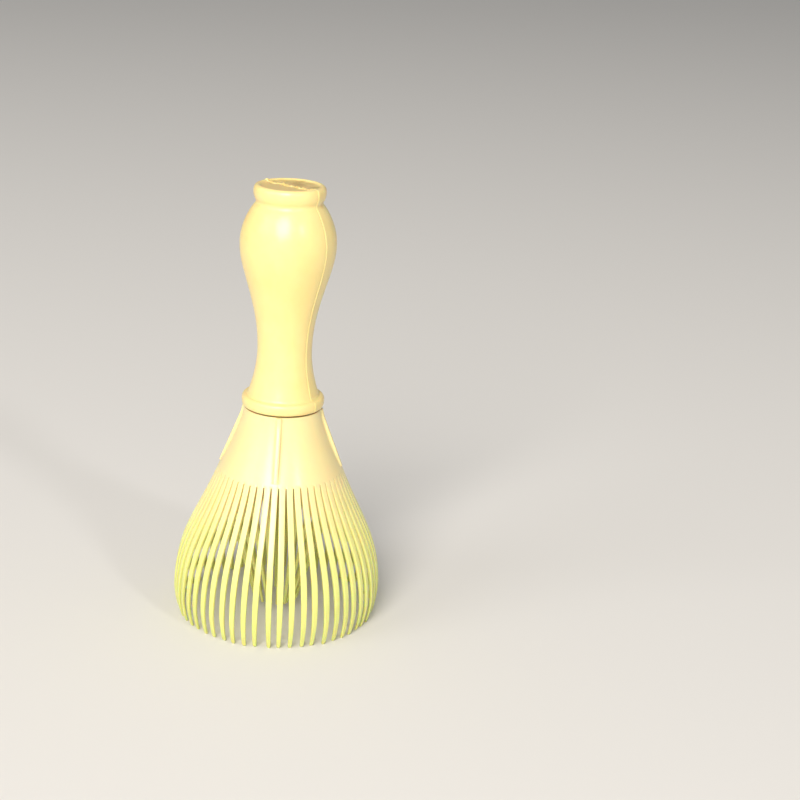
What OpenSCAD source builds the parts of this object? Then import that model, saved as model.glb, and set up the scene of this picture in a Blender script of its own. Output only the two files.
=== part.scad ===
// Moulded tea whisk: two handle half shells closed around the neck of an outer tine basket,
// with an inner tine basket snapped into it.
// The whisk stands on its tines. The origin is on the axis at the tips, and +Z runs up the handle.

/* [Whisk] */
// Height of the whole whisk
overall_h = 131; // [124:1:140]
// Widest diameter of the outer tines
basket_d = 62; // [58:1:66]
// Height of the two baskets, from the tips to the joint under the handle's collar
head_h = 65.2; // [63:0.2:67]
// Length of the slotted part of the outer basket
tine_h = 45.6; // [43:0.2:47]

/* [Handle] */
// Diameter of the grip at its waist
waist_d = 16; // [15:0.5:18]
// Diameter of the bulb below the cap
bulb_d = 27.9; // [26:0.1:30]
// Diameter of the lip around the cap
lip_d = 20.8; // [20:0.1:22]
// Diameter of the bead around the foot of the handle
collar_d = 24.3; // [24:0.1:26]
// Wall of the half shells
shell_wall = 2; // [1.6:0.1:2.2]

/* [Outer basket] */
// Number of outer tines
outer_tines = 54; // [40:2:60]
// Diameter of the skirt where the slots start
slot_ring_d = 36.5; // [36:0.1:38]
// Diameter of the ring of outer tips
tip_ring_d = 58.9; // [56:0.1:60]
// Wall of the skirt
skirt_wall = 1.5; // [1.3:0.1:1.7]
// Thickness of the outer tips
tip_wall = 0.7; // [0.6:0.1:1]
// Thickness of the four gusset ribs
rib_t = 1.4; // [1:0.1:2]
// Turn of the ribs against the seam of the handle, in degrees
head_turn = 35; // [0:0.5:90]

/* [Inner basket] */
// Number of inner tines
inner_tines = 24; // [12:2:30]
// Diameter of the ring of inner tips
inner_tip_d = 13; // [12:0.5:16]
// Height of the inner tips above the outer tips
inner_tip_z = 3; // [1:0.5:8]
// Wall of the inner basket
inner_wall = 1.1; // [0.9:0.1:1.3]

/* [Hidden] */
$fn = 64;
cream = "#f4ecb4";
pale_green = "#e6e69a";
cut = 1;

// Heights up the handle, as shares of its length above the joint
handle_h = overall_h - head_h;
function up(share) = head_h + share * handle_h;
collar_crest_z = up(0.03);
collar_top_z = up(0.071);
waist_z = up(0.26);
bulb_z = up(0.742);
groove_z = up(0.924);
lip_z = up(0.97);
cap_z = overall_h - 0.5;
cap_wall = 2.1;

// Radii of the handle
waist_r = waist_d / 2;
bulb_r = bulb_d / 2;
lip_r = lip_d / 2;
collar_r = collar_d / 2;
foot_r = waist_r + 2.15;
ring_top_r = collar_r - 0.95;
ring_top_z = head_h + 3.4;
groove_r = lip_r - 0.95;
rim_r = lip_r - 1.3;
cap_r = rim_r - 0.3;
collar_base_r = collar_r - 0.6;

// Neck of the outer basket, its flange, and the room for both in the handle
neck_r = 6;
neck_top_z = head_h + 7.8;
flange_r = 7.4;
flange_z = head_h + 3.2;
flange_t = 2.2;
fit_gap = 0.1;
web_t = 1.5;
key_w = 1.8;
cavity_z = flange_z + flange_t + fit_gap + web_t;

// Diaphragms, bosses, pins and sockets inside the handle
diaphragm_z = [up(0.46), up(0.68)];
diaphragm_t = 1.2;
diaphragm_hole_r = 3.5;
boss_z = [up(0.36), up(0.57), up(0.8)];
boss_r = 2.4;
pin_r = 1.3;
pin_l = 2.2;
socket_r = pin_r + 0.05;
socket_l = pin_l + 0.3;
root = 0.6;

// Outer basket
shadow_gap = 0.35;
shadow_depth = 0.8;
deck_top_z = head_h - shadow_gap;
deck_z = head_h - 3.2;
skirt_top_r = collar_base_r - 0.15;
slot_ring_r = slot_ring_d / 2;
basket_r = basket_d / 2;
bulge_z = tine_h * 0.175;
tip_r = tip_ring_d / 2;
root_z = tine_h + 0.7;
slot_top_w = 0.3;
slot_mid_z = tine_h * 0.57;
rib_end_z = tine_h + 1.3;
rib_proud = 0.5;
rib_top_proud = 0.5;

// Inner basket
bore_r = 3.6;
stem_r = bore_r - fit_gap;
stem_hole_r = 1.8;
barb_r = 4.3;
barb_z = neck_top_z + fit_gap;
barb_h = 2.5;
stem_slit = 1.2;
nest_gap = 0.15;
inner_deck_t = 1.8;
inner_ring_r = slot_ring_r - skirt_wall - nest_gap;
inner_tip_r = inner_tip_d / 2;
inner_tip_wall = 0.7;
inner_slot_z = tine_h - 1.2;
inner_slot_mid_z = tine_h * 0.44;
inner_slot_top = 2.4;
inner_slot_mid = 1.95;
inner_slot_tip = 0.85;

// A cubic curve through its first and last points, without the first
function bezier(p, t) =
    pow(1 - t, 3) * p[0] + 3 * pow(1 - t, 2) * t * p[1] + 3 * (1 - t) * t * t * p[2] + pow(t, 3) * p[3];
function curve(p, steps) = [for (i = [1:steps]) bezier(p, i / steps)];
function inset(points, by) = [for (p = points) [p[0] - by, p[1]]];
function backwards(points) = [for (i = [len(points) - 1:-1:0]) points[i]];
function radius_at(points, z) = lookup(z, [for (p = points) [p[1], p[0]]]);

// Outline of the handle, from the collar's underside to the rim of the cap, as [radius, height]
collar_outline = concat(
    [[collar_base_r, head_h]],
    curve([[collar_base_r, head_h], [collar_r - 0.05, head_h + 0.1],
        [collar_r, collar_crest_z - 1], [collar_r, collar_crest_z]], 3),
    curve([[collar_r, collar_crest_z], [collar_r, collar_crest_z + 0.9],
        [ring_top_r + 0.55, ring_top_z], [ring_top_r, ring_top_z]], 3),
    curve([[ring_top_r, ring_top_z], [ring_top_r - 0.5, ring_top_z],
        [foot_r + 0.25, ring_top_z + 0.15], [foot_r, collar_top_z]], 3));
grip_outline = concat(
    curve([[foot_r, collar_top_z], [waist_r + 1.2, collar_top_z + 3.1],
        [waist_r, waist_z - 5], [waist_r, waist_z]], 4),
    curve([[waist_r, waist_z], [waist_r, waist_z + 14.5],
        [bulb_r, bulb_z - 8.6], [bulb_r, bulb_z]], 7),
    curve([[bulb_r, bulb_z], [bulb_r, bulb_z + 4.4],
        [groove_r + 2.65, groove_z - 3.2], [groove_r, groove_z]], 5));
lip_outline = concat(
    curve([[groove_r, groove_z], [groove_r + 0.55, groove_z + 0.9],
        [lip_r, groove_z + 2], [lip_r, lip_z]], 2),
    curve([[lip_r, lip_z], [lip_r, lip_z + 1.3],
        [rim_r + 0.8, overall_h], [rim_r, overall_h]], 3));
handle_outline = concat(collar_outline, grip_outline, lip_outline);

// Outline of the room inside the handle, from the cap's inner face down to the collar's underside
cavity_top_z = cap_z - cap_wall;
cavity_outline = concat(
    [[0, cavity_top_z], [groove_r - shell_wall, cavity_top_z]],
    backwards(inset([for (p = grip_outline) if (p[1] > cavity_z) p], shell_wall)),
    [[radius_at(handle_outline, cavity_z) - shell_wall, cavity_z],
    [neck_r + fit_gap, cavity_z],
    [neck_r + fit_gap, flange_z + flange_t + fit_gap],
    [flange_r + fit_gap, flange_z + flange_t + fit_gap],
    [flange_r + fit_gap, flange_z - fit_gap],
    [neck_r + fit_gap, flange_z - fit_gap],
    [neck_r + fit_gap, head_h]]);

// Outlines of the baskets, from the joint down to the tips
skirt_outline = concat(
    [[skirt_top_r, deck_top_z - 0.3]],
    curve([[skirt_top_r, deck_top_z - 0.3], [skirt_top_r, head_h - 4.2],
        [slot_ring_r - 2.4, root_z + 4.5], [slot_ring_r, root_z]], 6));
tine_outline = concat(
    curve([[slot_ring_r, root_z], [slot_ring_r + 6.75, tine_h * 0.635],
        [basket_r, tine_h * 0.52], [basket_r, bulge_z]], 6),
    curve([[basket_r, bulge_z], [basket_r, bulge_z * 0.79],
        [tip_r + 1, bulge_z * 0.31], [tip_r, 0]], 2));
inner_tine_outline = curve([[inner_ring_r, root_z], [inner_ring_r + 1.8, tine_h * 0.835],
    [inner_tip_r + 5, inner_tip_z + 17], [inner_tip_r, inner_tip_z]], 7);

// Thins a tine's wall evenly from its root to its tip
function thinned(points, root_wall, end_wall) =
    [for (i = [0:len(points) - 1])
        [points[i][0] - root_wall + (root_wall - end_wall) * (i + 1) / len(points), points[i][1]]];

// One half of the hollow shell, on the +Y side
module half_shell() {
    rotate_extrude(angle = 180)
        polygon(concat(handle_outline, [[cap_r, cap_z], [0, cap_z]], cavity_outline));
    for (z = diaphragm_z)
        translate([0, 0, z])
            rotate_extrude(angle = 180)
                translate([diaphragm_hole_r, 0])
                    square([radius_at(handle_outline, z) - shell_wall + root - diaphragm_hole_r,
                        diaphragm_t]);
    translate([-key_w / 2, neck_r + fit_gap, flange_z - root])
        cube([key_w, flange_r - neck_r + root, flange_t + 2 * root]);
}

// A round post along +Y from the seam to the wall, at height z
module boss(z) {
    translate([0, 0, z])
        rotate([-90, 0, 0])
            cylinder(r = boss_r, h = radius_at(handle_outline, z) - shell_wall + root);
}

module handle_front_half() {
    color(cream)
        rotate(180)
            union() {
                half_shell();
                for (z = boss_z) {
                    boss(z);
                    translate([0, -pin_l, z])
                        rotate([-90, 0, 0])
                            cylinder(r = pin_r, h = pin_l + cut);
                }
            }
}

module handle_rear_half() {
    color(cream)
        difference() {
            union() {
                half_shell();
                for (z = boss_z)
                    boss(z);
            }
            for (z = boss_z)
                translate([0, -cut, z])
                    rotate([-90, 0, 0])
                        cylinder(r = socket_r, h = socket_l + cut);
        }
}

// A thin fin that fills the hollow of the bell, its foot just above the slots
module gusset_rib() {
    rotate([90, 0, 0])
        linear_extrude(height = rib_t, center = true)
            polygon(concat(
                [[skirt_top_r + rib_top_proud, deck_top_z - 0.3],
                [skirt_top_r + 2 * rib_top_proud, head_h - 2.8],
                [radius_at(backwards(skirt_outline), rib_end_z) + rib_proud, rib_end_z],
                [radius_at(backwards(skirt_outline), rib_end_z) - skirt_wall / 2, rib_end_z]],
                backwards(inset([for (p = skirt_outline) if (p[1] > rib_end_z) p], skirt_wall / 2))));
}

// The gap between two tines, along +X: flanks is a list of [height, width]
module slot(flanks, near, far) {
    right_side = [for (f = flanks) [f[1] / 2, f[0]]];
    left_side = backwards([for (f = flanks) [-f[1] / 2, f[0]]]);
    rotate([90, 0, 90])
        translate([0, 0, near])
            linear_extrude(height = far - near)
                polygon(concat(right_side, left_side));
}

module outer_basket() {
    pitch = PI * basket_d / outer_tines;
    flanks = [[tine_h, slot_top_w], [slot_mid_z, pitch * 0.388], [-cut, pitch * 0.65]];
    color(pale_green)
        difference() {
            union() {
                rotate_extrude()
                    polygon(concat(
                        [[bore_r, neck_top_z], [neck_r, neck_top_z],
                        [neck_r, flange_z + flange_t], [flange_r, flange_z + flange_t],
                        [flange_r, flange_z], [neck_r, flange_z], [neck_r, head_h],
                        [skirt_top_r - shadow_depth, head_h],
                        [skirt_top_r - shadow_depth, deck_top_z],
                        [skirt_top_r - 0.3, deck_top_z]],
                        skirt_outline,
                        tine_outline,
                        backwards(thinned(tine_outline, skirt_wall, tip_wall)),
                        backwards([for (p = inset(skirt_outline, skirt_wall)) if (p[1] < deck_z) p]),
                        [[radius_at(backwards(skirt_outline), deck_z) - skirt_wall, deck_z],
                        [bore_r, deck_z]]));
                for (quarter = [0:3])
                    rotate(head_turn + quarter * 90)
                        gusset_rib();
            }
            for (i = [0:outer_tines - 1])
                rotate(head_turn + i * 360 / outer_tines)
                    slot(flanks, slot_ring_r - 4, basket_r + cut);
            for (side = [-1, 1])
                translate([-key_w / 2 - fit_gap, side * (neck_r + 1.5) - 1.5, flange_z - cut])
                    cube([key_w + 2 * fit_gap, 3, flange_t + 2 * cut]);
        }
}

module inner_basket() {
    shell = inset([for (p = skirt_outline) if (p[1] < deck_z) p], skirt_wall + nest_gap);
    deck_r = radius_at(backwards(skirt_outline), deck_z) - skirt_wall - nest_gap;
    top_z = deck_z - fit_gap;
    under_z = top_z - inner_deck_t;
    flanks = [[inner_slot_z, inner_slot_top], [inner_slot_mid_z, inner_slot_mid],
        [inner_tip_z - cut, inner_slot_tip]];
    color(pale_green)
        difference() {
            rotate_extrude()
                polygon(concat(
                    [[stem_hole_r, barb_z + barb_h], [stem_r - 0.4, barb_z + barb_h],
                    [barb_r, barb_z], [stem_r, barb_z], [stem_r, top_z], [deck_r, top_z]],
                    shell,
                    inner_tine_outline,
                    backwards(thinned(inner_tine_outline, inner_wall, inner_tip_wall)),
                    backwards([for (p = inset(shell, inner_wall)) if (p[1] < under_z) p]),
                    [[radius_at(backwards(shell), under_z) - inner_wall, under_z],
                    [stem_hole_r, under_z]]));
            for (i = [0:inner_tines - 1])
                rotate(head_turn + i * 360 / inner_tines)
                    slot(flanks, cut, inner_ring_r + 3);
            for (turn = [0, 90])
                rotate(turn)
                    translate([-stem_slit / 2, -stem_r - cut, neck_top_z - 5])
                        cube([stem_slit, 2 * (stem_r + cut), 5 + barb_h + cut]);
        }
}

handle_front_half();
handle_rear_half();
outer_basket();
inner_basket();
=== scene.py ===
import math
import random

import bmesh
import bpy
from mathutils import Matrix, Vector, noise
from mathutils.geometry import delaunay_2d_cdt


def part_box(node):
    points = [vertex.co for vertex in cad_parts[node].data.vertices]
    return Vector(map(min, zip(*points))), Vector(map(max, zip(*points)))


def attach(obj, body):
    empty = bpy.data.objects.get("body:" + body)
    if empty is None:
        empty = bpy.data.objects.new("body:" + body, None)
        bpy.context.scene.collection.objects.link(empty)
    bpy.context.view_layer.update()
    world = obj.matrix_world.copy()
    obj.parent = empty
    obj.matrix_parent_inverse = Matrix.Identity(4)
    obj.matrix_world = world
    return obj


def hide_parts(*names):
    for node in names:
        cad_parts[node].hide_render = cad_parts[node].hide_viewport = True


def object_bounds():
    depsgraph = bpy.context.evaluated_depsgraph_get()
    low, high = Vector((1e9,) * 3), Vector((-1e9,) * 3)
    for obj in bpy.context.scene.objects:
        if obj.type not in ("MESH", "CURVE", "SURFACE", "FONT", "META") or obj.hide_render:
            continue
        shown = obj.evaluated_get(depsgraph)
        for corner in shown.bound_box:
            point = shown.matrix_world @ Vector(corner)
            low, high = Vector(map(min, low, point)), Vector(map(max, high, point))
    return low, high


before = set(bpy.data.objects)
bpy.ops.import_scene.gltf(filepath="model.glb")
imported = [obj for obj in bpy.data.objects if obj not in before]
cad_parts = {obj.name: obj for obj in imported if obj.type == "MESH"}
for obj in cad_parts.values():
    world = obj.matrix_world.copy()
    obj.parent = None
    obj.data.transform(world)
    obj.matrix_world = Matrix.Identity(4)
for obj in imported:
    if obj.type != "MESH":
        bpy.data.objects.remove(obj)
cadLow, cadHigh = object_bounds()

# Everything below is in millimetres until a mesh is written, then in metres.
mm = 0.001
wholeHeight = cadHigh.z / mm
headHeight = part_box("handle_rear_half")[0].z / mm  # the joint under the collar
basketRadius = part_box("outer_basket")[1].x / mm
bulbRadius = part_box("handle_rear_half")[1].x / mm
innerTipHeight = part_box("inner_basket")[0].z / mm


camera = {
    "azimuth": 35.23,  # degrees round from the front
    "elevation": 18.54,
    "distance": 501.2,
    "aimHeight": 68.6,
    "aimRight": 34.5,  # the whisk stands this far left of the middle
    "roll": 3.3,
    "lens": 76.5,
    "sensor": 36,
}


def makeCamera(plan):
    a, e = math.radians(plan["azimuth"]), math.radians(plan["elevation"])
    toCamera = Vector((math.sin(a) * math.cos(e), -math.cos(a) * math.cos(e), math.sin(e)))
    right = Vector((math.cos(a), math.sin(a), 0))
    aim = right * plan["aimRight"] + Vector((0, 0, plan["aimHeight"]))
    data = bpy.data.cameras.new("camera")
    data.lens = plan["lens"]
    data.sensor_width = plan["sensor"]
    data.clip_start = 0.01
    data.clip_end = 20
    cam = bpy.data.objects.new("camera", data)
    cam.location = (aim + toCamera * plan["distance"]) * mm
    roll = Matrix.Rotation(math.radians(plan["roll"]), 4, "Z")
    cam.rotation_euler = ((-toCamera).to_track_quat("-Z", "Y").to_matrix().to_4x4() @ roll).to_euler()
    bpy.context.scene.collection.objects.link(cam)
    bpy.context.scene.camera = cam


makeCamera(camera)
print("camera set")


def bezier(p0, p1, p2, p3, steps):
    # points along a cubic curve, without its first
    out = []
    for i in range(1, steps + 1):
        t = i / steps
        u = 1 - t
        w = (u ** 3, 3 * u * u * t, 3 * u * t * t, t ** 3)
        out.append(tuple(sum(k * p[n] for k, p in zip(w, (p0, p1, p2, p3))) for n in (0, 1)))
    return out


def radiusAt(outline, z):
    # radius of an outline whose heights run one way
    for (r0, z0), (r1, z1) in zip(outline, outline[1:]):
        if min(z0, z1) <= z <= max(z0, z1) and z0 != z1:
            return r0 + (r1 - r0) * (z - z0) / (z1 - z0)
    return outline[0][0] if abs(z - outline[0][1]) < abs(z - outline[-1][1]) else outline[-1][0]


def lerpTable(table, x):
    # table is a list of (x, value), x rising
    if x <= table[0][0]:
        return table[0][1]
    for (x0, v0), (x1, v1) in zip(table, table[1:]):
        if x <= x1:
            return v0 + (v1 - v0) * (x - x0) / (x1 - x0)
    return table[-1][1]


def up(share):
    # a height on the handle, as a share of its length
    return headHeight + share * (wholeHeight - headHeight)


def makePiece(bm, name, sharp=38, weighted=True):
    # writes a millimetre bmesh as an object in metres, with smooth faces and sharp corners kept
    bmesh.ops.remove_doubles(bm, verts=bm.verts, dist=1e-5)
    bmesh.ops.recalc_face_normals(bm, faces=bm.faces)
    limit = math.radians(sharp)
    for face in bm.faces:
        face.smooth = True
    for edge in bm.edges:
        edge.smooth = len(edge.link_faces) == 2 and edge.calc_face_angle(0) < limit
    bmesh.ops.scale(bm, vec=(mm, mm, mm), verts=bm.verts)
    mesh = bpy.data.meshes.new(name)
    bm.to_mesh(mesh)
    bm.free()
    piece = bpy.data.objects.new(name, mesh)
    bpy.context.scene.collection.objects.link(piece)
    if weighted:
        shading = piece.modifiers.new("even shading", "WEIGHTED_NORMAL")
        shading.keep_sharp = True
        shading.weight = 60
    return piece


def weave(bm, rows, around=False):
    # quads between rows of vertices; around closes each row on itself
    for low, high in zip(rows, rows[1:]):
        count = len(low)
        for i in range(count if around else count - 1):
            j = (i + 1) % count
            bm.faces.new((low[i], low[j], high[j], high[i]))


def ring(bm, radius, z, angles):
    return [bm.verts.new((radius * math.cos(a), radius * math.sin(a), z)) for a in angles]


handle = {
    "waistRadius": 8.0,
    "lipRadius": 10.4,
    "collarRadius": 12.15,
    "ringHeight": 3.4,  # top of the collar's ring, above the joint
    "shellWall": 2.0,
    "capRecess": 0.5,
    "capWall": 2.1,
    "neckRoom": 6.1,  # hole for the basket's neck
    "flangeRoom": 7.5,
    "flangeHeights": (3.1, 5.5),  # groove for the flange, above the joint
    "cavityFloor": 7.0,  # above the joint
    "diaphragms": (0.46, 0.68),
    "diaphragmThickness": 1.2,
    "diaphragmHole": 3.5,
    "bosses": (0.36, 0.57, 0.8),
    "bossRadius": 2.4,
    "pinRadius": 1.3,
    "pinLength": 2.2,
    # how far the surface stands off the true round beside the seam: (distance from seam, offset)
    "frontSeam": ((0.0, -0.04), (0.05, -0.01), (0.14, 0.0), (0.3, 0.0), (0.6, 0.0), (1.2, 0.0)),
    "rearSeam": ((0.0, 0.04), (0.05, 0.1), (0.14, 0.125), (0.28, 0.12), (0.6, 0.09), (1.1, 0.05), (1.9, 0.0)),
    "columns": 84,
}


def handleOutline(plan):
    waist, lip, collar = plan["waistRadius"], plan["lipRadius"], plan["collarRadius"]
    foot, groove, rim, ringTop = waist + 2.15, lip - 0.95, lip - 1.3, collar - 0.95
    crest, top, waistZ, bulbZ, grooveZ, lipZ = up(0.03), up(0.071), up(0.26), up(0.742), up(0.924), up(0.97)
    joint = headHeight
    out = [(collar - 1.0, joint), (collar - 0.78, joint + 0.02)]
    out += bezier((collar - 0.6, joint + 0.1), (collar - 0.1, joint + 0.3),
                  (collar, crest - 1), (collar, crest), 10)
    # the ring is rounded over and meets the foot in a tight hollow
    ringZ = joint + plan["ringHeight"]
    out += bezier((collar, crest), (collar, crest + 0.9), (ringTop + 0.55, ringZ), (ringTop, ringZ), 10)
    out += bezier((ringTop, ringZ), (ringTop - 0.5, ringZ), (foot + 0.25, ringZ + 0.15), (foot, top), 10)
    out += bezier((foot, top), (waist + 1.2, top + 3.1), (waist, waistZ - 5), (waist, waistZ), 14)
    out += bezier((waist, waistZ), (waist, waistZ + 14.5), (bulbRadius, bulbZ - 8.6), (bulbRadius, bulbZ), 30)
    bulbTop = bezier((bulbRadius, bulbZ), (bulbRadius, bulbZ + 4.4),
                     (groove + 2.65, grooveZ - 3.2), (groove, grooveZ), 22)
    lipUnder = bezier((groove, grooveZ), (groove + 0.55, grooveZ + 0.9), (lip, grooveZ + 2), (lip, lipZ), 8)
    # the corner between bulb and lip is a small hollow
    out += bulbTop[:-3]
    out += bezier(bulbTop[-4], (groove + 0.02, grooveZ - 0.2), (groove + 0.02, grooveZ + 0.35),
                  lipUnder[2], 8)
    out += lipUnder[3:]
    out += bezier((lip, lipZ), (lip, lipZ + 1.3), (rim + 0.8, wholeHeight), (rim, wholeHeight), 10)
    return out


def capOutline(plan):
    # from the rim down into the shallow recess and in to the axis
    rim = plan["lipRadius"] - 1.3
    floor = wholeHeight - plan["capRecess"]
    out = bezier((rim, wholeHeight), (rim - 0.4, wholeHeight), (rim - 0.6, floor), (rim - 1.2, floor), 10)
    out += [(r, floor - 0.06 * (1 - (r / rim) ** 2)) for r in (7.4, 6.4, 5.4, 4.4, 3.4, 2.4, 1.4, 0.6)]
    return out


def cavityOutline(plan, outline):
    wall = plan["shellWall"]
    joint = headHeight
    top = wholeHeight - plan["capRecess"] - plan["capWall"]
    low, high = (joint + h for h in plan["flangeHeights"])
    floor = joint + plan["cavityFloor"]
    neck, flange = plan["neckRoom"], plan["flangeRoom"]
    inside = [(r - wall, z) for r, z in reversed(outline) if floor < z < up(0.924) - 0.01]
    ledges = []
    for share in sorted(plan["diaphragms"], reverse=True):
        z = up(share)
        ledges.append((z + plan["diaphragmThickness"], z))
    out = [(0, top), (plan["lipRadius"] - 0.95 - wall, top)]
    for r, z in inside:
        while ledges and z < ledges[0][0]:
            upper, lower = ledges.pop(0)
            hole = plan["diaphragmHole"]
            out += [(radiusAt(outline, upper) - wall, upper), (hole + 0.05, upper),
                    (hole, lower), (radiusAt(outline, lower) - wall, lower)]
        if out[-1][1] - z > 0.05 or len(out) == 2:
            out.append((r, z))
    out += [(radiusAt(outline, floor) - wall, floor), (neck, floor), (neck, high), (flange, high),
            (flange, low), (neck, low), (neck, joint)]
    return out


def halfShell(plan, seam, waves):
    # a half turn of the shell on the +Y side: outer face with its raised seam edge, inner face, seam faces
    outline = handleOutline(plan)
    outer = outline + capOutline(plan)
    inner = cavityOutline(plan, outline)
    bm = bmesh.new()
    near = [d for d, _ in seam]
    count = plan["columns"]
    # columns at set distances from the seam on each side, and an even spread over the rest
    order = [("near", d, 1) for d in near] + [("share", k / count, 0) for k in range(1, count)]
    order += [("near", d, -1) for d in reversed(near)]

    def place(radius, z, column, skin):
        kind, value, side = column
        if radius < 1.5:
            # by the axis the distances don't fit, so the turn is shared out evenly
            index = order.index(column)
            angle = math.pi * index / (len(order) - 1)
            return radius * math.cos(angle), radius * math.sin(angle), z
        edge = math.asin(min(1, near[-1] / radius))
        if kind == "near":
            angle = math.asin(min(1, value / radius))
            shift = lerpTable(seam, value) if skin else 0
        else:
            angle = edge + (math.pi - 2 * edge) * value
            shift = 0
        if side < 0:
            angle = math.pi - angle
        r = radius + shift
        return r * math.cos(angle), r * math.sin(angle), z

    def skinAmount(radius, z):
        # the seam edge fades out on the cap's floor
        return 1 if radius > plan["lipRadius"] - 1.75 or z < up(0.9) else 0

    rows = []
    for radius, z in outer:
        skin = skinAmount(radius, z)
        rows.append([bm.verts.new(place(radius, z, c, skin)) for c in order])
    axisTop = bm.verts.new((0, 0, outer[-1][1] - 0.001))
    last = rows[-1]
    for i in range(len(last) - 1):
        bm.faces.new((last[i], last[i + 1], axisTop))
    weave(bm, rows)
    innerRows = []
    for radius, z in inner[1:]:
        innerRows.append([bm.verts.new(place(radius, z, c, 0)) for c in order])
    axisInner = bm.verts.new((0, 0, inner[0][1]))
    first = innerRows[0]
    for i in range(len(first) - 1):
        bm.faces.new((first[i + 1], first[i], axisInner))
    weave(bm, innerRows)
    weave(bm, [innerRows[-1], rows[0]])
    # the two seam faces, one for each side of the axis, meet on the axis
    for side in (0, -1):
        loop = [row[side] for row in rows] + [axisTop, axisInner] + [row[side] for row in innerRows]
        count = len(loop)
        flat = [Vector((v.co.x, v.co.z)) for v in loop]
        border = [(i, (i + 1) % count) for i in range(count)]
        triangles = delaunay_2d_cdt(flat, border, [], 1, 1e-6)
        faces, origins = triangles[2], triangles[3]
        for corners in faces:
            bm.faces.new([loop[origins[c][0]] for c in corners])
    # slight sinks and swells of a cooling moulding
    for v in bm.verts:
        radius = math.hypot(v.co.x, v.co.y)
        if radius > 7.5 and v.co.z > headHeight + 5 and abs(v.co.y) > 0.02:
            swell = waves * noise.noise(Vector((v.co.x, v.co.y, v.co.z)) * 0.11)
            fade = min(1, abs(v.co.y) / 2)
            v.co.x += v.co.x / radius * swell * fade
            v.co.y += v.co.y / radius * swell * fade
    return bm


def addPost(bm, z, outline, wall, pin, socket):
    # a boss along +Y with a pin on it or a socket in it
    plan = handle
    depth = radiusAt(outline, z) - wall + 0.6
    profile = [(0, 0)]
    if pin:
        r, l = plan["pinRadius"], plan["pinLength"]
        profile = [(0, -l), (r - 0.3, -l), (r, -l + 0.3), (r, 0), (plan["bossRadius"], 0)]
    elif socket:
        r, l = plan["pinRadius"] + 0.05, plan["pinLength"] + 0.3
        profile = [(0, l), (r, l), (r, 0.15), (r + 0.15, 0), (plan["bossRadius"], 0)]
    profile += [(plan["bossRadius"], depth), (0, depth)]
    angles = [2 * math.pi * k / 40 for k in range(40)]
    rows = []
    ends = []
    for r, y in profile:
        if r == 0:
            ends.append(bm.verts.new((0, y, z)))
        else:
            rows.append([bm.verts.new((r * math.cos(a), y, z + r * math.sin(a))) for a in angles])
    weave(bm, rows, around=True)
    for i in range(40):
        j = (i + 1) % 40
        bm.faces.new((rows[0][j], rows[0][i], ends[0]))
        bm.faces.new((rows[-1][i], rows[-1][j], ends[1]))


def joinSolids(base, tool):
    # makes two closed solids one
    union = base.modifiers.new("union", "BOOLEAN")
    union.operation = "UNION"
    union.solver = "MANIFOLD"
    union.object = tool
    bpy.context.view_layer.update()
    depsgraph = bpy.context.evaluated_depsgraph_get()
    merged = bpy.data.meshes.new_from_object(base.evaluated_get(depsgraph))
    base.modifiers.clear()
    base.data = merged
    bpy.data.objects.remove(tool)


def makeHandleHalf(name, seam, pin, turn):
    outline = handleOutline(handle)
    bm = halfShell(handle, seam, 0.05)
    shell = makePiece(bm, name, weighted=False)
    posts = bmesh.new()
    for share in handle["bosses"]:
        addPost(posts, up(share), outline, handle["shellWall"], pin, not pin)
    tool = makePiece(posts, name + "_posts", weighted=False)
    joinSolids(shell, tool)
    if turn:
        shell.data.transform(Matrix.Rotation(math.pi, 4, "Z"))
    shading = shell.modifiers.new("even shading", "WEIGHTED_NORMAL")
    shading.keep_sharp = True
    shading.weight = 60
    return shell


handleRear = makeHandleHalf("handle_rear_shell", handle["rearSeam"], False, False)
handleFront = makeHandleHalf("handle_front_shell", handle["frontSeam"], True, True)
print("handle halves made")


capBead = {
    "width": 0.9,
    "height": 0.46,
    "reach": 9.7,  # out over the rim on both sides
    "wander": 0.38,  # how far the line strays sideways
    "pip": (-9.1, 0.06),  # place along the line, and height, of the lump where the mould let go
    "step": 0.14,
    "seed": 7,
}


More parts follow.
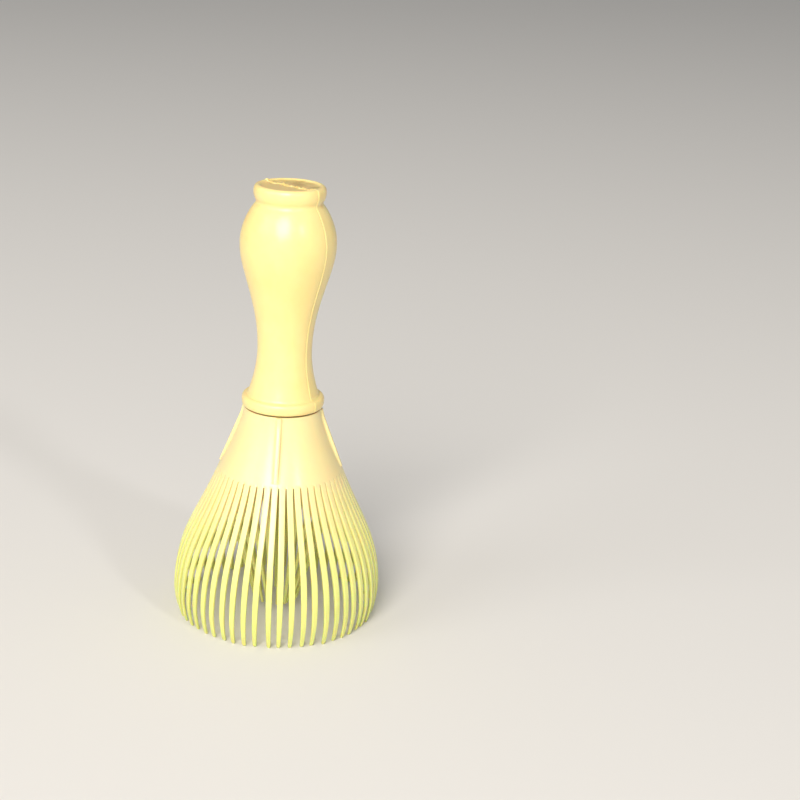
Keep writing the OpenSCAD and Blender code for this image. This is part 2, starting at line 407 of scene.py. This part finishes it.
def makeCapBead(plan):
    rng = random.Random(plan["seed"])
    outline = handleOutline(handle)
    top = [p for p in outline if p[1] > up(0.97)] + capOutline(handle)
    top.append((0, wholeHeight - handle["capRecess"]))
    bm = bmesh.new()
    rows = []
    count = int(2 * plan["reach"] / plan["step"])
    section = [(-1.0, -0.4), (-1.0, 0.0), (-0.72, 0.45), (-0.35, 0.85), (0.0, 1.0), (0.4, 0.8), (0.75, 0.4),
               (1.0, 0.0), (1.0, -0.4)]
    for i in range(count + 1):
        x = -plan["reach"] + 2 * plan["reach"] * i / count
        base = next(z0 + (z1 - z0) * (abs(x) - r0) / (r1 - r0)
                    for (r0, z0), (r1, z1) in zip(top, top[1:])
                    if min(r0, r1) <= abs(x) <= max(r0, r1) and r0 != r1)
        ends = min(1, (plan["reach"] - abs(x)) / 0.8)
        stray = plan["wander"] * noise.noise(Vector((x * 0.42, 3.1, 0))) * 2
        stray += 0.14 * noise.noise(Vector((x * 2.1, 8.7, 0)))
        half = plan["width"] / 2 * (0.8 + 0.5 * noise.noise(Vector((x * 1.3, 0, 5.5)))) * ends + 0.02
        high = plan["height"] * (0.85 + 0.7 * noise.noise(Vector((x * 1.7, 4.4, 0)))) * ends
        lump = math.exp(-((x - plan["pip"][0]) / 0.6) ** 2)
        high = high * (1 - 0.5 * min(1, max(0, abs(x) - 8.3))) + plan["pip"][1] * lump
        half += 0.35 * lump * ends
        row = []
        for across, lift in section:
            ragged = 0.07 * (rng.random() - 0.5) if 0 < lift < 1 else 0
            y = stray * ends + across * half + ragged
            z = base + (lift * high if lift > 0 else lift * 0.6)
            row.append(bm.verts.new((x, y, z)))
        rows.append(row)
    weave(bm, rows, around=True)
    bm.faces.new(rows[0])
    bm.faces.new(reversed(rows[-1]))
    return makePiece(bm, "cap_weld_bead", sharp=60)


bead = makeCapBead(capBead)
print("cap bead made")


outerBasket = {
    "tines": 54,
    "ringRadius": 18.25,  # where the slots start
    "tipRadius": 29.45,
    "slotTop": 45.6,
    "slotWidths": ((-1.0, 2.35), (26.0, 1.4), (45.6, 0.3)),  # (height, width)
    "wall": 1.5,
    "tipWall": 0.7,
    "edgeRound": 0.24,
    "tipRound": 0.75,
    "turn": 35,  # of the first slot, and of one rib, past +X
    "tangle": 0.22,  # how far the free tips stray
    "seed": 11,
    "rows": 44,
    "neckBore": 3.6,
    "neckRadius": 6.0,
    "neckTop": 73.0,
    "flange": (7.4, 68.4, 70.6),
    "deck": 62.0,
    "shadowGap": 0.35,
    "shadowDepth": 0.8,
    "skirtTop": 11.4,
    "ribHalf": 0.7,
    "ribEnd": 46.9,
}

innerBasket = {
    "tines": 24,
    "ringRadius": 16.6,
    "tipRadius": 6.5,
    "slotTop": 44.4,
    "slotWidths": ((2.0, 0.85), (20.06, 1.95), (44.4, 2.4)),
    "wall": 1.1,
    "tipWall": 0.7,
    "edgeRound": 0.2,
    "tipRound": 0.5,
    "turn": 35,  # of the first slot, and of one rib, past +X
    "tangle": 0.25,
    "seed": 5,
    "rows": 36,
    "stemRadius": 3.5,
    "stemBore": 1.8,
    "barb": (4.3, 73.1, 75.6),
    "deckTop": 61.9,
    "deckThickness": 1.8,
    "nestGap": 0.15,
}

rootHeight = outerBasket["slotTop"] + 0.7


def skirtOutline():
    # from the deck's edge down to the roots of the tines
    plan = outerBasket
    top = headHeight - plan["shadowGap"]
    r, ringR = plan["skirtTop"], plan["ringRadius"]
    out = [(r - 0.3, top), (r - 0.09, top - 0.09), (r, top - 0.3)]
    out += bezier((r, top - 0.3), (r, headHeight - 4.2), (ringR - 2.4, rootHeight + 4.5),
                  (ringR, rootHeight), 30)
    return out


def tineOutline(rows):
    plan = outerBasket
    ringR, top, tip = plan["ringRadius"], plan["slotTop"], plan["tipRadius"]
    bulgeZ = top * 0.175
    low = int(rows * 0.2)
    out = bezier((ringR, rootHeight), (ringR + 6.75, top * 0.635), (basketRadius, top * 0.52),
                 (basketRadius, bulgeZ), rows - low)
    out += bezier((basketRadius, bulgeZ), (basketRadius, bulgeZ * 0.79), (tip + 1, bulgeZ * 0.31),
                  (tip, 0), low)
    return out


def innerTineOutline(rows):
    plan = innerBasket
    ringR, tip = plan["ringRadius"], plan["tipRadius"]
    slotTop = outerBasket["slotTop"]
    return bezier((ringR, rootHeight), (ringR + 1.8, slotTop * 0.835), (tip + 5, innerTipHeight + 17),
                  (tip, innerTipHeight), rows)


def ribShape(height):
    # across a rib, from its middle out: (distance, lift), with a rounded edge and a hollow at its foot
    # that both shrink with the rib
    half = outerBasket["ribHalf"]
    edge = min(0.32, height * 0.45)
    foot = min(0.55, height * 0.5)
    edgeWide, footWide = 0.42, 0.75
    out = [(0, height), ((half - edgeWide) * 0.55, height), (half - edgeWide, height)]
    for k in (1, 2, 3):
        a = math.pi / 2 * k / 3
        out.append((half - edgeWide + edgeWide * math.sin(a), height - edge + edge * math.cos(a)))
    for k in range(0, 4):
        a = math.pi / 2 * k / 3
        out.append((half + 0.04 + footWide * (1 - math.cos(a)), foot * (1 - math.sin(a))))
    out.append((half + 0.04 + footWide + 0.4, 0))
    return out


def ribHeights(z, skirt):
    # how far a rib stands proud of the skirt at a height
    plan = outerBasket
    edge = [(radiusAt(skirt, plan["ribEnd"]) + 0.5, plan["ribEnd"]), (12.4, headHeight - 2.8), (11.9, 64.55)]
    if z < plan["ribEnd"] or z > 64.6:
        return 0
    return max(0, radiusAt(edge, z) - radiusAt(skirt, z))


def skirtRing(bm, radius, z, height):
    # one ring of the skirt: four ribs, and an even spread between them
    shape = ribShape(max(height, 0.02))
    between = 26
    points = []
    for quarter in range(4):
        centre = math.radians(outerBasket["turn"] + 90 * quarter)
        last = shape[-1][0] / radius
        for d, lift in shape:
            points.append((centre + d / radius, lift))
        for k in range(1, between):
            points.append((centre + last + (math.pi / 2 - 2 * last) * k / between, 0))
        for d, lift in reversed(shape[1:]):
            points.append((centre + math.pi / 2 - d / radius, lift))
    verts = []
    for angle, lift in points:
        r = radius + (lift if height > 0 else 0)
        verts.append(bm.verts.new((r * math.cos(angle), r * math.sin(angle), z)))
    return verts


def evenRing(bm, radius, z, count):
    first = math.radians(outerBasket["turn"])
    return ring(bm, radius, z, [first + 2 * math.pi * k / count for k in range(count)])


def stitch(bm, ringA, ringB):
    # triangles between two closed rings with different numbers of vertices, both running the same way
    start = math.atan2(ringA[0].co.y, ringA[0].co.x)

    def turn(v):
        return (math.atan2(v.co.y, v.co.x) - start) % (2 * math.pi)

    turnsA = [0.0] + [turn(v) for v in ringA[1:]] + [2 * math.pi]
    first = min(range(len(ringB)), key=lambda k: turn(ringB[k]))
    ringB = ringB[first:] + ringB[:first]
    turnsB = [turn(v) for v in ringB]
    turnsB.append(turnsB[0] + 2 * math.pi)
    i = j = 0
    while i < len(ringA) or j < len(ringB):
        a, b = ringA[i % len(ringA)], ringB[j % len(ringB)]
        if j == len(ringB) or (i < len(ringA) and turnsA[i + 1] <= turnsB[j + 1]):
            i += 1
            bm.faces.new((a, ringA[i % len(ringA)], b))
        else:
            j += 1
            bm.faces.new((a, ringB[j % len(ringB)], b))


def normalsOf(points):
    # outward direction at each point of a falling outline, as (radius, height)
    out = []
    for i in range(len(points)):
        r0, z0 = points[max(0, i - 1)]
        r1, z1 = points[min(len(points) - 1, i + 1)]
        dr, dz = r1 - r0, z1 - z0
        length = math.hypot(dr, dz)
        out.append((-dz / length, dr / length))
    return out


def tineColumns(half, edge):
    # across a tine: (sideways, depth below the face), the edges rounded
    edge = min(edge, half * 0.8)
    out = []
    for k in range(4):
        a = math.pi / 2 * k / 3
        out.append((-half + edge - edge * math.cos(a), edge - edge * math.sin(a)))
    inside = half - edge
    out += [(-inside / 3, 0), (inside / 3, 0)]
    out += [(-s, d) for s, d in reversed(out[:4])]
    return out


# The tines hang from a ring of columns: ten across each tine on the outer face and ten on the inner.
def makeTines(bm, plan, outline):
    rng = random.Random(plan["seed"])
    count = plan["tines"]
    normals = normalsOf(outline)
    slotTop = plan["slotTop"]
    lengths = [0]
    for (r0, z0), (r1, z1) in zip(outline, outline[1:]):
        lengths.append(lengths[-1] + math.hypot(r1 - r0, z1 - z0))
    total = lengths[-1]
    # rows crowd together at the slot's top and at the tip
    slotAt = next(lengths[k] + (lengths[k + 1] - lengths[k]) * (outline[k][1] - slotTop)
                  / (outline[k][1] - outline[k + 1][1])
                  for k in range(len(outline) - 1) if outline[k + 1][1] <= slotTop <= outline[k][1])
    extra = [slotAt, slotAt + 0.12, slotAt + 0.35]
    extra += [total - plan["tipRound"] * t for t in (1.0, 0.75, 0.5, 0.3, 0.15, 0.05)]
    stations = sorted(s for s in lengths if s < total - plan["tipRound"] - 0.2
                      and abs(s - slotAt - 0.15) > 0.4) + extra + [total]
    stations = sorted(stations)

    def at(table, s):
        return lerpTable(list(zip(lengths, table)), s)

    outRows, inRows, rowS = [], [], []
    radii = [p[0] for p in outline]
    heights = [p[1] for p in outline]
    nr = [n[0] for n in normals]
    nz = [n[1] for n in normals]
    strays = [(rng.gauss(0, 1), rng.gauss(0, 1), rng.uniform(-1, 1)) for _ in range(count)]
    for s in stations:
        radius, z = at(radii, s), at(heights, s)
        normal = (at(nr, s), at(nz, s))
        share = s / total
        wall = plan["wall"] + (plan["tipWall"] - plan["wall"]) * share
        free = max(0, s - slotAt)
        edge = plan["edgeRound"] * min(1, free / 2.5 + 0.15) if free else 0
        slotWidth = lerpTable(plan["slotWidths"], z)
        half = (2 * math.pi * radius / count - slotWidth) / 2
        fromTip = total - s
        squeeze = 1.0
        thin = 1.0
        if fromTip < plan["tipRound"]:
            x = 1 - fromTip / plan["tipRound"]
            squeeze = math.sqrt(max(0.0, 1 - (x * 0.93) ** 2))
            thin = math.sqrt(max(0.0, 1 - (x * 0.85) ** 2))
        half *= squeeze
        columns = tineColumns(half, edge)
        innerColumns = tineColumns(half, min(edge, wall * 0.3))
        outRow, inRow = [], []
        bend = (free / (total - slotAt)) ** 2
        for i in range(count):
            centre = math.radians(plan["turn"]) + 2 * math.pi * (i + 0.5) / count
            sideways, outwards, early = strays[i]
            swing = plan["tangle"] * (sideways * bend + 0.5 * early * bend * (1 - share))
            push = plan["tangle"] * 0.7 * outwards * bend
            for columnsHere, row, base in ((columns, outRow, 0), (innerColumns, inRow, wall)):
                for across, depth in columnsHere:
                    if base == 0:
                        r = radius - depth * normal[0] - (1 - thin) * wall / 2
                        zz = z - depth * normal[1]
                    else:
                        r = radius - wall + depth * normal[0] + (1 - thin) * wall / 2
                        zz = z + depth * normal[1]
                    angle = centre + (across + swing) / radius
                    r += push
                    row.append(bm.verts.new((r * math.cos(angle), r * math.sin(angle), zz)))
        outRows.append(outRow)
        inRows.append(inRow)
        rowS.append(s)
    per = len(outRows[0]) // count
    for k in range(len(stations) - 1):
        slotted = rowS[k] >= slotAt - 1e-6
        face, faceBelow = outRows[k], outRows[k + 1]
        back, backBelow = inRows[k], inRows[k + 1]
        for i in range(count):
            a = i * per
            for c in range(a, a + per - 1):
                bm.faces.new((face[c], face[c + 1], faceBelow[c + 1], faceBelow[c]))
                bm.faces.new((back[c + 1], back[c], backBelow[c], backBelow[c + 1]))
            b = (a + per) % (count * per)
            e = a + per - 1
            if slotted:
                bm.faces.new((face[a], faceBelow[a], backBelow[a], back[a]))
                bm.faces.new((faceBelow[e], face[e], back[e], backBelow[e]))
            else:
                bm.faces.new((face[e], face[b], faceBelow[b], faceBelow[e]))
                bm.faces.new((back[b], back[e], backBelow[e], backBelow[b]))
    # roof of each slot
    top = min(range(len(rowS)), key=lambda k: abs(rowS[k] - slotAt))
    for i in range(count):
        e = i * per + per - 1
        b = (i * per + per) % (count * per)
        bm.faces.new((outRows[top][b], outRows[top][e], inRows[top][e], inRows[top][b]))
    # blunt ends
    face, back = outRows[-1], inRows[-1]
    for i in range(count):
        for c in range(i * per, i * per + per - 1):
            bm.faces.new((face[c], face[c + 1], back[c + 1], back[c]))
    return outRows[0], inRows[0]


def makeOuterBasket(plan):
    bm = bmesh.new()
    skirt = skirtOutline()
    tines = [skirt[-1]] + tineOutline(plan["rows"])
    tines[0] = (plan["ringRadius"], rootHeight)
    outRing, inRing = makeTines(bm, plan, tines)
    # outer face of the skirt, from the deck down to just above the tines
    zs = [p for p in skirt if p[1] > plan["ribEnd"] + 0.12]
    rows = [skirtRing(bm, r, z, ribHeights(z, skirt)) for r, z in zs]
    endZ = plan["ribEnd"]
    endR = radiusAt(skirt, endZ)
    rows.append(skirtRing(bm, radiusAt(skirt, endZ + 0.1), endZ + 0.1, ribHeights(endZ + 0.1, skirt)))
    rows.append(skirtRing(bm, endR, endZ, 0.25))
    rows.append(skirtRing(bm, radiusAt(skirt, endZ - 0.12), endZ - 0.12, 0))
    columns = len(rows[0])
    # deck, neck and flange above it
    neck, bore = plan["neckRadius"], plan["neckBore"]
    flangeR, flangeLow, flangeHigh = plan["flange"]
    top = plan["neckTop"]
    step = plan["skirtTop"] - plan["shadowDepth"]
    above = [(bore, top - 0.3), (bore + 0.3, top), (neck - 0.3, top), (neck, top - 0.3), (neck, flangeHigh),
             (flangeR - 0.2, flangeHigh), (flangeR, flangeHigh - 0.2), (flangeR, flangeLow + 0.2),
             (flangeR - 0.2, flangeLow), (neck, flangeLow), (neck, headHeight),
             (step, headHeight), (step, headHeight - plan["shadowGap"])]
    upper = [skirtRing(bm, r, z, 0) for r, z in above]
    weave(bm, upper + rows, around=True)
    stitch(bm, rows[-1], outRing)
    # inside the skirt, up to the deck's underside and the bore
    inside = [(r - plan["wall"], z) for r, z in reversed(skirt) if rootHeight + 0.5 < z < plan["deck"] - 0.2]
    deckR = radiusAt(skirt, plan["deck"]) - plan["wall"]
    inside += [(deckR, plan["deck"] - 0.1), (deckR - 0.1, plan["deck"]), (bore + 0.2, plan["deck"]),
               (bore, plan["deck"] + 0.2)]
    lower = [evenRing(bm, r, z, columns) for r, z in inside]
    weave(bm, lower, around=True)
    stitch(bm, inRing, lower[0])
    stitch(bm, lower[-1], upper[0])
    return makePiece(bm, "outer_tine_basket")


def makeInnerBasket(plan):
    bm = bmesh.new()
    skirt = skirtOutline()
    gap = outerBasket["wall"] + plan["nestGap"]
    tines = [(plan["ringRadius"], rootHeight)] + innerTineOutline(plan["rows"])
    outRing, inRing = makeTines(bm, plan, tines)
    top = plan["deckTop"]
    shell = [(r - gap, z) for r, z in skirt if rootHeight + 0.5 < z < top - 0.2]
    deckR = radiusAt(skirt, top) - gap
    stem, bore = plan["stemRadius"], plan["stemBore"]
    barbR, barbLow, barbHigh = plan["barb"]
    above = [(bore, barbHigh - 0.2), (bore + 0.2, barbHigh), (stem - 0.4, barbHigh), (barbR, barbLow + 0.15),
             (barbR - 0.1, barbLow), (stem, barbLow), (stem, top + 0.3), (stem + 0.3, top),
             (deckR - 0.2, top), (deckR, top - 0.2)] + shell
    count = 192
    outer = [evenRing(bm, r, z, count) for r, z in above]
    weave(bm, outer, around=True)
    stitch(bm, outer[-1], outRing)
    under = top - plan["deckThickness"]
    inside = [(r - plan["wall"], z) for r, z in reversed(shell) if z < under - 0.2]
    underR = radiusAt(shell, under) - plan["wall"]
    inside += [(underR, under - 0.2), (underR - 0.2, under), (bore + 0.2, under), (bore, under + 0.2)]
    inner = [evenRing(bm, r, z, count) for r, z in inside]
    weave(bm, inner, around=True)
    stitch(bm, inRing, inner[0])
    stitch(bm, inner[-1], outer[0])
    return makePiece(bm, "inner_tine_basket")


outer = makeOuterBasket(outerBasket)
inner = makeInnerBasket(innerBasket)
print("baskets made")


def linear(code):
    # sRGB hex to linear colour
    out = []
    for k in (1, 3, 5):
        c = int(code[k:k + 2], 16) / 255
        out.append(c / 12.92 if c <= 0.04045 else ((c + 0.055) / 1.055) ** 2.4)
    return (*out, 1)


def addNode(tree, kind, settings=None, links=None):
    # adds a node, sets its properties or sockets by name, and links its inputs
    node = tree.nodes.new(kind)
    for key, value in (settings or {}).items():
        if isinstance(key, str) and hasattr(node, key) and key not in node.inputs:
            setattr(node, key, value)
        else:
            node.inputs[key].default_value = value
    for key, source in (links or {}).items():
        tree.links.new(source, node.inputs[key])
    return node


def patternScale(size):
    # noise scale for marks about this many millimetres across
    return 1 / (size * mm)


def newMaterial(name):
    material = bpy.data.materials.new(name)
    material.use_nodes = True
    material.node_tree.nodes.clear()
    return material, material.node_tree


def ramp(node, stops):
    # places a colour ramp's stops: (place, colour)
    elements = node.color_ramp.elements
    while len(elements) > len(stops):
        elements.remove(elements[-1])
    while len(elements) < len(stops):
        elements.new(0.5)
    for element, (place, colour) in zip(elements, stops):
        element.position = place
        element.color = colour


def mouldedCream():
    # Injection moulded polypropylene, cream: a soft gloss over faint clouding, with painted shade and dried
    # tea on the cap's floor, a dried drop in the groove below the lip, and painted shade in the joint under
    # the collar
    material, tree = newMaterial("cream_polypropylene_moulded")
    place = addNode(tree, "ShaderNodeTexCoord").outputs["Object"]
    axes = addNode(tree, "ShaderNodeSeparateXYZ", {}, {"Vector": place})
    flat = addNode(tree, "ShaderNodeCombineXYZ", {}, {"X": axes.outputs["X"], "Y": axes.outputs["Y"]})
    radius = addNode(tree, "ShaderNodeVectorMath", {"operation": "LENGTH"}, {0: flat.outputs["Vector"]})
    # faint clouds about 14 mm across
    cloud = addNode(tree, "ShaderNodeTexNoise",
                    {"Scale": patternScale(14), "Detail": 3.0, "Roughness": 0.55}, {"Vector": place})
    clouds = addNode(tree, "ShaderNodeMapRange", {"From Min": 0.35, "From Max": 0.7},
                     {"Value": cloud.outputs["Fac"]})
    tone = addNode(tree, "ShaderNodeMix", {"data_type": "RGBA"}, {"Factor": clouds.outputs["Result"]})
    tone.inputs[6].default_value = linear("#f1d98d")
    tone.inputs[7].default_value = linear("#f4de98")
    # the cap's recess, inside the rim: painted tan all over for the shade of the rim, blotched darker where
    # tea has dried
    inRecess = addNode(tree, "ShaderNodeMapRange", {"From Min": 8.8 * mm, "From Max": 8.0 * mm},
                       {"Value": radius.outputs["Value"]})
    atTop = addNode(tree, "ShaderNodeMapRange", {"From Min": 129.5 * mm, "From Max": 130.0 * mm},
                    {"Value": axes.outputs["Z"]})
    capMask = addNode(tree, "ShaderNodeMath", {"operation": "MULTIPLY"},
                      {0: inRecess.outputs["Result"], 1: atTop.outputs["Result"]})
    # blotches about 4 mm across, on the rear half of the recess
    blotch = addNode(tree, "ShaderNodeTexNoise",
                     {"Scale": patternScale(4), "Detail": 4.0, "Roughness": 0.6}, {"Vector": place})
    rearSide = addNode(tree, "ShaderNodeMapRange", {"From Min": -1 * mm, "From Max": 3 * mm},
                       {"Value": axes.outputs["Y"]})
    blotches = addNode(tree, "ShaderNodeMapRange", {"From Min": 0.42, "From Max": 0.62},
                       {"Value": blotch.outputs["Fac"]})
    stainMask = addNode(tree, "ShaderNodeMath", {"operation": "MULTIPLY"},
                        {0: rearSide.outputs["Result"], 1: blotches.outputs["Result"]})
    # even tan is painted shade of the rim; the darker blotches on the rear half are dried tea
    stainAndPaintedLight = addNode(tree, "ShaderNodeMix", {"data_type": "RGBA"}, {"Factor": stainMask.outputs["Value"]})
    stainAndPaintedLight.inputs[6].default_value = linear("#e3c47c")
    stainAndPaintedLight.inputs[7].default_value = linear("#bda257")
    withCap = addNode(tree, "ShaderNodeMix", {"data_type": "RGBA"},
                      {"Factor": capMask.outputs["Value"], 6: tone.outputs[2], 7: stainAndPaintedLight.outputs[2]})
    # a dried drop in the groove beside the seam
    away = addNode(tree, "ShaderNodeVectorMath", {"operation": "DISTANCE"}, {0: place})
    away.inputs[1].default_value = (8.9 * mm, 3.1 * mm, 126.2 * mm)
    drop = addNode(tree, "ShaderNodeMapRange", {"From Min": 1.6 * mm, "From Max": 0.2 * mm},
                   {"Value": away.outputs["Value"]})
    withDrop = addNode(tree, "ShaderNodeMix", {"data_type": "RGBA"},
                       {"Factor": drop.outputs["Result"], 6: withCap.outputs[2]})
    withDrop.inputs[7].default_value = linear("#e2bc76")
    # painted shade in the joint under the collar, fading out over 0.3 mm
    jointShade = addNode(tree, "ShaderNodeMapRange",
                      {"From Min": (headHeight + 0.35) * mm, "From Max": (headHeight + 0.05) * mm},
                      {"Value": axes.outputs["Z"]})
    withJointShade = addNode(tree, "ShaderNodeMix", {"data_type": "RGBA"},
                        {"Factor": jointShade.outputs["Result"], 6: withDrop.outputs[2]})
    withJointShade.inputs[7].default_value = linear("#9a7a3c")
    # the mould's fine grain, about 1.1 mm from mark to mark
    grain = addNode(tree, "ShaderNodeTexNoise", {"Scale": patternScale(1.1), "Detail": 4.0},
                    {"Vector": place})
    bump = addNode(tree, "ShaderNodeBump", {"Strength": 0.1, "Distance": 0.1 * mm},
                   {"Height": grain.outputs["Fac"]})
    shader = addNode(tree, "ShaderNodeBsdfPrincipled", {
        "Roughness": 0.43, "IOR": 1.49, "Subsurface Weight": 0.2, "Subsurface Scale": 1.5 * mm,
        "Coat Weight": 0.5, "Coat Roughness": 0.24, "Coat IOR": 1.49,
    }, {"Base Color": withJointShade.outputs[2], "Normal": bump.outputs["Normal"]})
    addNode(tree, "ShaderNodeOutputMaterial", {}, {"Surface": shader.outputs["BSDF"]})
    return material


def mouldedTine():
    # The same plastic in the baskets: thinner, so more light gets through, and greener towards the tips
    # that have stood in tea: partly tea stain, partly painted green light thrown back from the tea around
    # them
    material, tree = newMaterial("tea_stained_and_painted_green_bounce_polypropylene_moulded")
    place = addNode(tree, "ShaderNodeTexCoord").outputs["Object"]
    height = addNode(tree, "ShaderNodeSeparateXYZ", {}, {"Vector": place}).outputs["Z"]
    # patches about 9 mm across move the edge of the green tint up and down by up to 22 mm
    patch = addNode(tree, "ShaderNodeTexNoise", {"Scale": patternScale(9), "Detail": 3.0}, {"Vector": place})
    shifted = addNode(tree, "ShaderNodeMath", {"operation": "MULTIPLY_ADD", 1: 22 * mm},
                      {0: patch.outputs["Fac"], 2: height})
    share = addNode(tree, "ShaderNodeMapRange", {"From Min": 11 * mm, "From Max": 64 * mm},
                    {"Value": shifted.outputs["Value"]})
    # greener towards the tips: partly tea stain, partly painted green light thrown back from the tea
    stainAndPaintedLight = addNode(tree, "ShaderNodeValToRGB", {}, {"Fac": share.outputs["Result"]})
    ramp(stainAndPaintedLight, [(0.0, linear("#cdd374")), (0.3, linear("#dde084")), (0.62, linear("#ece596")),
                 (0.85, linear("#f2dea0"))])
    # the same painted shade on the step that the collar sits over
    jointShade = addNode(tree, "ShaderNodeMapRange",
                      {"From Min": (headHeight - 0.5) * mm, "From Max": (headHeight - 0.3) * mm},
                      {"Value": height})
    withJointShade = addNode(tree, "ShaderNodeMix", {"data_type": "RGBA"},
                        {"Factor": jointShade.outputs["Result"], 6: stainAndPaintedLight.outputs["Color"]})
    withJointShade.inputs[7].default_value = linear("#9a7a3c")
    # the mould's fine grain, about 1.1 mm from mark to mark
    grain = addNode(tree, "ShaderNodeTexNoise", {"Scale": patternScale(1.1), "Detail": 4.0},
                    {"Vector": place})
    bump = addNode(tree, "ShaderNodeBump", {"Strength": 0.1, "Distance": 0.1 * mm},
                   {"Height": grain.outputs["Fac"]})
    shader = addNode(tree, "ShaderNodeBsdfPrincipled", {
        "Roughness": 0.4, "IOR": 1.49, "Subsurface Weight": 0.3, "Subsurface Scale": 1.5 * mm,
        "Coat Weight": 0.5, "Coat Roughness": 0.24, "Coat IOR": 1.49,
    }, {"Base Color": withJointShade.outputs[2], "Normal": bump.outputs["Normal"]})
    addNode(tree, "ShaderNodeOutputMaterial", {}, {"Surface": shader.outputs["BSDF"]})
    return material


cream = mouldedCream()
tineGreen = mouldedTine()
for piece, material in ((handleRear, cream), (handleFront, cream), (bead, cream), (outer, tineGreen),
                        (inner, tineGreen)):
    piece.data.materials.clear()
    piece.data.materials.append(material)
print("materials made")


for piece, slotName, node in ((handleRear, "handle_resin", "handle_rear_half"),
                              (handleFront, "handle_resin", "handle_front_half"),
                              (outer, "tine_resin", "outer_basket"), (inner, "tine_resin", "inner_basket")):
    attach(piece, "root")
    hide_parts(node)
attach(bead, "root")


studio = {
    "floor": "#e2e0dc",
    "floorSize": 14000,
    "world": "#ffffff",
    "worldStrength": 0.31,
}


def makeFloor(plan):
    bm = bmesh.new()
    half = plan["floorSize"] / 2
    places = ((-half, -half), (half, -half), (half, half), (-half, half))
    bm.faces.new([bm.verts.new((x, y, 0)) for x, y in places])
    floor = makePiece(bm, "studio_floor", weighted=False)
    material, tree = newMaterial("matte_paper_backdrop")
    shader = addNode(tree, "ShaderNodeBsdfPrincipled",
                     {"Base Color": linear(plan["floor"]), "Roughness": 0.8})
    addNode(tree, "ShaderNodeOutputMaterial", {}, {"Surface": shader.outputs["BSDF"]})
    floor.data.materials.append(material)


def makeLight(name, azimuth, elevation, distance, size, power, colour="#ffffff"):
    # an area light aimed at the middle of the whisk
    a, e = math.radians(azimuth), math.radians(elevation)
    back = Vector((math.sin(a) * math.cos(e), -math.cos(a) * math.cos(e), math.sin(e)))
    data = bpy.data.lights.new(name, "AREA")
    data.shape = "DISK"
    data.size = size * mm
    data.energy = power
    data.color = linear(colour)[:3]
    lamp = bpy.data.objects.new(name, data)
    lamp.location = (back * distance + Vector((0, 0, wholeHeight / 2))) * mm
    lamp.rotation_euler = (-back).to_track_quat("-Z", "Y").to_euler()
    bpy.context.scene.collection.objects.link(lamp)


def makeWorld(plan):
    world = bpy.data.worlds.new("studio")
    world.use_nodes = True
    tree = world.node_tree
    tree.nodes.clear()
    shade = addNode(tree, "ShaderNodeBackground",
                    {"Color": linear(plan["world"]), "Strength": plan["worldStrength"]})
    addNode(tree, "ShaderNodeOutputWorld", {}, {"Surface": shade.outputs["Background"]})
    bpy.context.scene.world = world


makeFloor(studio)
makeWorld(studio)
makeLight("front_softbox", 24, 34, 2400, 1400, 66, "#fff9f2")
makeLight("left_lamp", -24, 28, 2100, 1100, 8)
makeLight("right_lamp", 76, 30, 2100, 240, 6.3)
bpy.context.scene.view_settings.view_transform = "Standard"
print("studio set")
